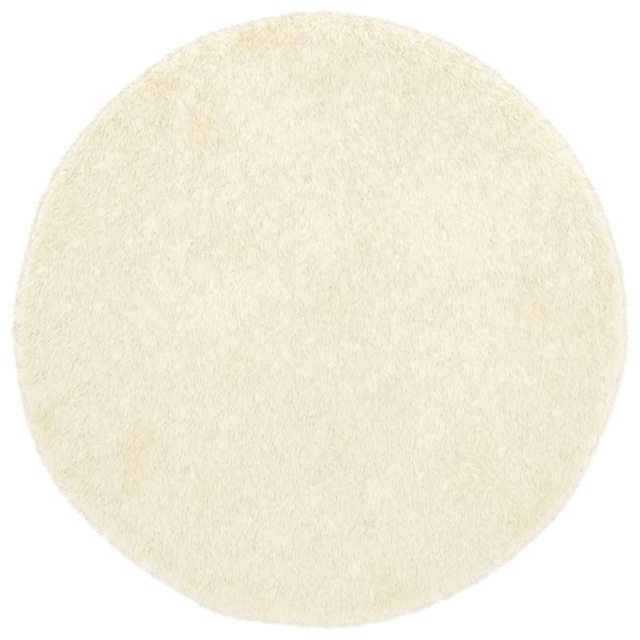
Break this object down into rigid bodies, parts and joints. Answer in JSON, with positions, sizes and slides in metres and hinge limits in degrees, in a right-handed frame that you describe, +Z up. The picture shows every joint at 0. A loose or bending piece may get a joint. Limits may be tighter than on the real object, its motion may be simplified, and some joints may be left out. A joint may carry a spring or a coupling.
{
  "type": "round shag rug",
  "caption": "Round ivory shag rug lying flat, its deep combed pile in lumpy tufts with loose locks drooping to the floor all round its rim.",
  "frame": {"origin": "middle of the footprint, on the floor that the rug lies on", "axes": "+Z up, from the floor through the pile; -Y is the way that the pile is combed; +X is to the right, looking down with +Y away"},
  "size_m": [1.2084, 1.2095, 0.038],
  "materials": {
    "pile": "soft matte ivory shag yarn, combed one way, with a faint sheen along the strands",
    "backing": "matte woven ground cloth in a natural off-white, its edge turned and overlocked"
  },
  "bodies": {
    "root": {"backing": "backing", "pile": "pile"}
  },
  "joints": []
}
